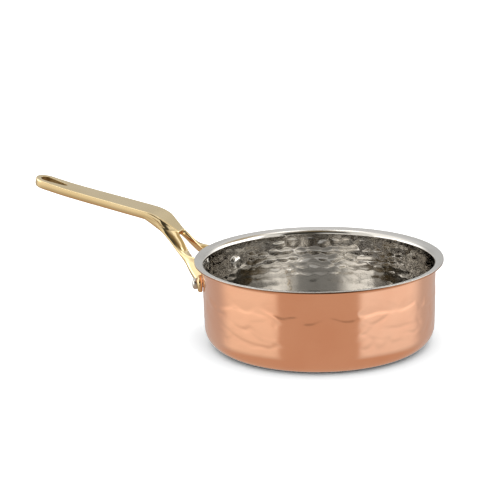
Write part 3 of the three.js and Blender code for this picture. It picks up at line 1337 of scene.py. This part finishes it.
    def tongue_section(self, share: float, at: float, back: float = 0.0) -> dict[str, Vector]:
        """Draws a section of the bend, where the tongue lies on the leg.

        Args:
            share: The share of the bend, from 0 to 1, and 2 at the crotch.
            at: The place along the leg under it.
            back: A distance back from the crotch.

        Returns:
            The section's points by name.
        """
        bend = self.beside(self.bend_reach, 0, self.bend_rise)
        crotch = self.beside(self.crotch_reach, 0, self.crotch_rise)
        down = (crotch - bend).normalized()
        out = Vector((-math.cos(self.bar_slope), 0, math.sin(self.bar_slope)))
        ends = (bend + self.bend_ease * out, bend + self.bend_ease * down)
        if share <= 1:
            point = ends[0] * (1 - share) ** 2 + bend * 2 * share * (1 - share) + ends[1] * share**2
            run = ((bend - ends[0]) * (1 - share) + (ends[1] - bend) * share).normalized()
            narrowed = self.bend_narrowing * max(0.0, 4 * share - 3)
        else:
            point = crotch - back * down
            run = down
            narrowed = 1 - (1 - self.bend_narrowing) * back / (crotch - ends[1]).length
        half = self.root_half + (self.tongue_half - self.root_half) * narrowed
        face = Vector((-run.z, 0, run.x))
        leg = self.leg_section(at, half + self.tongue_draft)
        root = self.bend_reach + self.bend_ease
        bar = self.bar_section((root, 0), (root, half))

        def spot(out: float, depth: float) -> Vector:
            """Gives a point of the tongue by its spread and depth."""
            return point + Vector((0, out, 0)) - depth * face

        emerged = clamp((share - self.emerge[0]) / (self.emerge[1] - self.emerge[0]))
        flush = clamp((narrowed - self.flush[0]) / (self.flush[1] - self.flush[0]))
        levelled = self.flush_share * flush
        leant = self.tongue_lean * self.tongue_draft * emerged
        section = {name: bar[name].lerp(leg[name], emerged) for name in leg}
        step_foot = spot(half + self.tongue_draft, self.step_depth)
        leg_in = spot(half + 3 * self.tongue_draft, self.root_depth)
        section["step_foot"] = section["step_foot"].lerp(step_foot, flush)
        section["leg_in"] = section["leg_in"].lerp(leg_in, levelled)
        section.update(
            {
                "hole_top": spot(0, self.hole_hold),
                "middle_top": spot(0, 0),
                "rim_top": spot(self.tongue_rim * half, 0),
                "face_top": spot(half - BULLNOSE["face_top"][0], 0),
                "edge_top": spot(half - self.tongue_edge, 0),
                "edge_side": spot(half + leant, self.top_hold * (1 - levelled)),
            }
        )
        under = section["under_root"]
        section["rim_under"] = Vector((under.x, self.under_rim * under.y, under.z))
        section["middle_under"] = Vector((under.x, 0, under.z))
        section["hole_under"] = section["middle_under"] + self.hole_hold * face
        return section

    def cage(self) -> bmesh.types.BMesh:
        """Draws the handle's cage, from the tip to the feet.

        Returns:
            The cage's mesh.
        """
        sections = self.tip_sections()
        for reach in (*(self.reach - stop for stop in TIP_STOPS), *WALL_STOPS):
            sections.append(self.bar_section((reach, 0), (reach, self.bar_half(reach))))
        sections += [self.tongue_section(*stop) for stop in BEND_STOPS]
        crown = ["hole_top", "middle_top", "rim_top"]
        sole = ["rim_under", "middle_under", "hole_under"]
        names = [*crown, *BULLNOSE, "under_in", "under_root", "inside", *sole]
        bm = bmesh.new()
        place = bm.verts.layers.int.new("place")
        start = {}
        for number, name in enumerate(names):
            start[name] = bm.verts.new(sections[0][name])
            start[name][place] = number
        plate = [*crown, "face_top", "edge_top", "edge_side", "step_foot", "inside", "under_root", *sole]
        fronts = [bm.faces.new([start[name] for name in ring]) for ring in (plate, LEG_RING)]

        def grow(faces: list[bmesh.types.BMFace], section: dict[str, Vector]) -> list[bmesh.types.BMFace]:
            """Extrudes the front faces to the next section.

            Args:
                faces: The front faces.
                section: The next section's points by name.

            Returns:
                The new front faces.
            """
            grown = bmesh.ops.extrude_face_region(bm, geom=faces)["geom"]
            for item in grown:
                if isinstance(item, bmesh.types.BMVert):
                    item.co = section[names[item[place]]]
            spent = [face for face in faces if face.is_valid]
            bmesh.ops.delete(bm, geom=spent, context="FACES")
            return [item for item in grown if isinstance(item, bmesh.types.BMFace)]

        for section in sections[1:]:
            fronts = grow(fronts, section)
        caps = [face for face in fronts if len(face.verts) == len(plate)]
        leg = [face for face in fronts if face not in caps]
        for at in LEG_STOPS:
            leg = grow(leg, self.leg_section(at))
        flat = [face for face in bm.faces if all(abs(corner.co.y) < MERGE for corner in face.verts)]
        bmesh.ops.delete(bm, geom=flat, context="FACES")
        mirrored(bm, "Y", MERGE)
        caps = [face for face in bm.faces if len(face.verts) == len(plate)]
        bmesh.ops.inset_region(bm, faces=caps, thickness=self.cap_inset, use_even_offset=True)
        bmesh.ops.recalc_face_normals(bm, faces=bm.faces)
        return bm

    def feet(self) -> bmesh.types.BMesh:
        """Turns the two round feet.

        Returns:
            The feet's mesh.
        """
        bm = bmesh.new()
        inner = self.foot_seat - self.foot_sink
        rounded = self.foot_radius - self.foot_edge
        pen = ProfilePen(bm, 0, inner)
        pen.line(rounded, inner)
        pen.arc(rounded, inner + self.foot_edge, -math.pi / 2, self.arc_parts)
        pen.line(self.foot_radius, self.foot_face - self.foot_edge)
        pen.arc(rounded, self.foot_face - self.foot_edge, -math.pi / 2, self.arc_parts)
        pen.line(0, self.foot_face)
        turned(bm, self.foot_turns)
        return self.on_both_sides(bm)

    def clearances(self) -> bmesh.types.BMesh:
        """Turns the cutters for the rivets' bores and the flats under their heads.

        Returns:
            The cutters' mesh.
        """
        bm = bmesh.new()
        start = self.foot_seat - self.foot_thickness
        end = self.foot_face + 3 * self.foot_thickness
        pen = ProfilePen(bm, 0, start)
        pen.line(self.bore, start)
        pen.line(self.bore, self.foot_face)
        pen.line(self.spot_face, self.foot_face)
        pen.line(self.spot_face, end)
        pen.line(0, end)
        turned(bm, self.bore_turns)
        return self.on_both_sides(bm)

    def on_both_sides(self, bm: bmesh.types.BMesh) -> bmesh.types.BMesh:
        """Lays a shape along the rivet's line, and its mirror image on the other side.

        Args:
            bm: The shape, turned about Z.

        Returns:
            The same mesh, with both.
        """
        bmesh.ops.transform(bm, matrix=self.line.matrix, verts=bm.verts)
        mirrored(bm, "Y", 0)
        bmesh.ops.recalc_face_normals(bm, faces=bm.faces)
        return bm

    def pan_space(self) -> bmesh.types.BMesh:
        """Turns the space that the pan's wall and lip take, with the feet's gap round it.

        Returns:
            The space's mesh.
        """
        bm = bmesh.new()
        gap = self.foot_gap
        wall = self.wall
        edge = wall.rim_radius + gap
        bend = wall.flare - gap
        pen = ProfilePen(bm, 0, 0)
        pen.line(wall.foot_radius + gap, 0)
        pen.line(wall.radius + gap, wall.flare_height)
        pen.arc(wall.flare_radius, wall.flare_height, math.pi / 2 - wall.lip_slope, 8)
        pen.line(edge, pen.tip.co.z + (edge - pen.tip.co.x) * math.tan(wall.lip_slope))
        pen.line(edge, wall.height + bend)
        pen.line(0, wall.height + bend)
        turned(bm, self.space_turns)
        return bm

    def build(self) -> None:
        """Builds the handle and gives it its finish."""
        casting = loose_object("casting", self.cage())
        rounding = casting.modifiers.new("rounding", "SUBSURF")
        rounding.levels = self.levels
        rounding.render_levels = self.levels
        tools = {
            loose_object("feet", self.feet()): "UNION",
            loose_object("pan_space", self.pan_space()): "DIFFERENCE",
            loose_object("clearances", self.clearances()): "DIFFERENCE",
        }
        for tool, operation in tools.items():
            cut = casting.modifiers.new(tool.name, "BOOLEAN")
            cut.object = tool
            cut.operation = operation
            cut.solver = "EXACT"
        shape = casting.evaluated_get(bpy.context.evaluated_depsgraph_get()).to_mesh()
        bm = bmesh.new()
        bm.from_mesh(shape)
        for spent in (casting, *tools):
            bpy.data.objects.remove(spent)
        bmesh.ops.remove_doubles(bm, verts=bm.verts, dist=WELD)
        bmesh.ops.dissolve_degenerate(bm, edges=bm.edges, dist=WELD)
        bmesh.ops.recalc_face_normals(bm, faces=bm.faces)
        smooth_shaded(bm, self.sharp)
        # The faces of the hanging hole's wall get the darker, rougher brass.
        for face in bm.faces:
            face.material_index = int(self.in_hole(face))
        piece("forked_brass_handle", bm, [BRASS, HOLE_BRASS], "handle")

    def in_hole(self, face: bmesh.types.BMFace) -> bool:
        """Tells whether a face of the handle is in the wall of the hanging hole.

        Args:
            face: The face.

        Returns:
            True for a face in the hole.
        """
        middle = face.calc_center_median()
        reach = -middle.x - self.wall.radius
        end = self.reach - self.hole_margin
        along = end - self.hole_length - self.hole_hold < reach < end + self.hole_hold
        upright = abs(face.normal.z) < self.hole_level
        return along and upright and abs(middle.y) < self.hole_radius + self.hole_hold


# Studio


@dataclass(frozen=True)
class Outlook:
    """The direction that a ray leaves the pan in, as values in the world's tree.

    Attributes:
        net: The world's tree.
        bearing: The ray's degrees from the camera's side, towards the camera's right.
        swing: The same degrees to either side.
        rise: The ray's degrees above the level.
        right: 1 on the camera's right and 0 on its left.
    """

    net: Net
    bearing: Value
    swing: Value
    rise: Value
    right: Value


@dataclass(frozen=True)
class StudioLight:
    """The light all round the pan that its reflections see, brighter than white in the softboxes.

    A table's two colours are the ones close to the pan and far from it.
    """

    softbox: Colour = (3.40, 3.35, 3.25)
    left_side: Colour = (1.60, 1.57, 1.50)
    side: Colour = (1.10, 1.07, 1.01)
    front: Colour = (0.06, 0.055, 0.042)
    front_top: Colour = (0.24, 0.175, 0.09)
    rear: Colour = (0.68, 0.68, 0.67)
    rear_top: Colour = (0.93, 0.93, 0.93)
    ceiling: Colour = (0.90, 0.88, 0.85)
    gold_card: Colour = (0.60, 0.49, 0.32)
    table_left: tuple[Colour, Colour] = ((0.72, 0.66, 0.58), (1.22, 1.14, 1.02))
    table_right: tuple[Colour, Colour] = ((0.74, 0.73, 0.70), (1.25, 1.22, 1.17))
    table_front: Colour = (0.30, 0.22, 0.16)
    table_rear: Colour = (0.58, 0.55, 0.53)
    table_near: Colour = (0.60, 0.455, 0.355)

    def above(self, look: Outlook) -> Value:
        """Gives the light from above the level.

        Args:
            look: The direction of the ray.

        Returns:
            The light's colour.
        """
        net, swing, rise, right = look.net, look.swing, look.rise, look.right
        off_left = look.bearing.rise(-14, 4)
        flag = swing.rise(40, 32) * (off_left + (1 - off_left) * rise.rise(14, 22))
        left_flag = swing.rise(60, 10)
        high_flag = left_flag + (swing.rise(85, 5) - left_flag) * right
        front = flag + (high_flag - flag) * rise.rise(34, 46)
        strip = rise.within(2, 21, 3) * (0.4 * swing.rise(58, 64) + 0.6 * swing.rise(78, 86))
        panel = rise.within(2, 66, 3) * (1 - 0.8 * rise.rise(34, 40)) * swing.rise(56, 66)
        low_box = strip + (panel - strip) * right
        high_box = swing.rise(30, 46) * rise.within(68, 82, 4) * (1 - low_box)
        round_boxes = net.blend(swing.rise(60, 68) * (1 - right), self.side, self.left_side)
        sides = net.blend(low_box + high_box, round_boxes, self.softbox)
        ahead = net.blend(rise.rise(40, 57), self.front, self.front_top)
        behind = net.blend(rise.rise(25, 34), self.rear, self.rear_top)
        light = net.blend(swing.rise(98, 148), net.blend(front, sides, ahead), behind)
        light = net.blend(rise.rise(74, 88), light, self.ceiling)
        card = swing.within(86, 136, 5) * rise.within(31, 62, 4) * right
        return net.blend(card, light, self.gold_card)

    def below(self, look: Outlook) -> Value:
        """Gives the light from the table.

        Args:
            look: The direction of the ray.

        Returns:
            The light's colour.
        """
        net, rise = look.net, look.rise
        close, far = (net.blend(look.right, *pair) for pair in zip(self.table_left, self.table_right))
        sides = net.blend(rise.rise(-32, -2), close, far)
        light = net.blend(look.swing.rise(98, 122), sides, self.table_rear)
        ahead = net.blend(rise.rise(-12, -2), self.table_near, self.table_front)
        light = net.blend(look.bearing.within(-44, 38, 4), light, ahead)
        return net.blend(rise.rise(-24, -42), light, self.table_near)


@dataclass(frozen=True)
class Studio:
    """The camera, the pale floor, and the light of a studio with a softbox on each side.

    Attributes:
        turn: The camera's angle round the pan, from -Y towards +X.
        rise: The camera's elevation.
        distance: The camera's distance from its target.
        aside: The target's distance to the camera's right of the pan's axis.
        above: The target's height.
        roll: The camera's roll.
        lens: The focal length, in millimetres.
        sensor: The sensor's width, in millimetres.
        nearest: The nearest distance that the camera sees.
        floor_half: Half the floor's width.
        floor_drop: How far the floor lies under the pan.
        floor_shade: The floor's brightness, which the camera sees doubled.
        light: The light that reflections see.
        bounces: The most reflections in a row.
    """

    turn: float = math.radians(21.8)
    rise: float = 0.261902
    distance: float = 1.09006
    aside: float = -0.043904
    above: float = 0.061423
    roll: float = -0.022482
    lens: float = 122.4
    sensor: float = 36.0
    nearest: float = 0.05
    floor_half: float = 3.0
    floor_drop: float = 0.1 * MM
    floor_shade: float = 0.85
    light: StudioLight = StudioLight()
    bounces: int = 10

    def camera(self) -> None:
        """Sets the camera up at the photograph's viewing angle."""
        target = Matrix.Rotation(self.turn, 4, "Z") @ Matrix.Translation((self.aside, 0, self.above))
        tilt = Matrix.Rotation(math.pi / 2 - self.rise, 4, "X") @ Matrix.Rotation(self.roll, 4, "Z")
        data = bpy.data.cameras.new("camera")
        data.lens = self.lens
        data.sensor_width = self.sensor
        data.clip_start = self.nearest
        camera = bpy.data.objects.new("camera", data)
        camera.matrix_world = target @ tilt @ Matrix.Translation((0, 0, self.distance))
        bpy.context.scene.collection.objects.link(camera)
        bpy.context.scene.camera = camera

    def floor(self) -> None:
        """Lays the pale floor, which shows white to the camera and keeps the pan's shadow."""
        bm = bmesh.new()
        bmesh.ops.create_grid(bm, x_segments=1, y_segments=1, size=self.floor_half)
        bmesh.ops.translate(bm, verts=bm.verts, vec=(0, 0, -self.floor_drop))
        floor = loose_object("floor", bm)
        material = bpy.data.materials.new("pale_floor")
        material.use_nodes = True
        net = Net(material.node_tree)
        shade = (self.floor_shade, self.floor_shade, self.floor_shade)
        lit = net.node("ShaderNodeBsdfDiffuse", None, {"Color": opaque(shade)})
        bright = net.node("ShaderNodeAddShader", None, {0: lit, 1: lit})
        seen = net.node("ShaderNodeLightPath", output="Is Camera Ray")
        surface = net.node("ShaderNodeMixShader", None, {0: seen, 1: lit, 2: bright})
        net.node("ShaderNodeOutputMaterial", None, {"Surface": surface})
        floor.data.materials.append(material)
        floor.visible_glossy = False

    def world(self) -> None:
        """Lights the studio: white to the camera and the floor, with softboxes that reflections see."""
        world = bpy.data.worlds.new("studio")
        world.use_nodes = True
        bpy.context.scene.world = world
        net = Net(world.node_tree)
        ray = net.node("ShaderNodeTexCoord", output="Generated")
        settings = {"rotation_type": "Z_AXIS"}
        swung = net.node("ShaderNodeVectorRotate", settings, {"Vector": ray, "Angle": -self.turn})
        x, y, z = (net.node("ShaderNodeSeparateXYZ", None, {0: swung}, output=axis) for axis in range(3))
        degrees = math.degrees(1)
        bearing = x.math("ARCTAN2", x, 0 - y) * degrees
        rise = z.math("ARCSINE", z) * degrees
        look = Outlook(net, bearing, abs(bearing), rise, x.rise(-0.1, 0.1))
        around = net.blend(rise.rise(-3, 2), self.light.below(look), self.light.above(look))
        path = {name: net.node("ShaderNodeLightPath", output=f"Is {name} Ray") for name in RAYS}
        mirrored_ray = path["Glossy"].math("MAXIMUM", path["Glossy"], path["Transmission"])
        around = net.blend(mirrored_ray, WHITE, around)
        around = net.blend(path["Camera"], around, WHITE)
        background = net.node("ShaderNodeBackground", None, {"Color": around})
        net.node("ShaderNodeOutputWorld", None, {"Surface": background})

    def build(self) -> None:
        """Sets up the camera, the floor and the light."""
        self.camera()
        self.floor()
        self.world()
        scene = bpy.context.scene
        scene.view_settings.view_transform = "Standard"
        scene.cycles.caustics_reflective = False
        scene.cycles.glossy_bounces = self.bounces


def main() -> None:
    """Builds the studio and every piece of the saucepan."""
    logging.basicConfig(level=logging.INFO, format="%(message)s")
    Studio().build()
    wall = PanWall()
    CopperShell(wall).build()
    lines = {side: RivetLine.on(side) for side in Side}
    SteelLiner(wall, tuple(lines.values())).build()
    reach = -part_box("handle")[0].x - wall.radius - NOSE_OVERHANG
    handle = ForkedHandle(wall, lines[Side.LEFT], reach)
    handle.build()
    for line in lines.values():
        Rivet(line, wall, handle.foot_face).build()


if __name__ == "__main__":
    main()
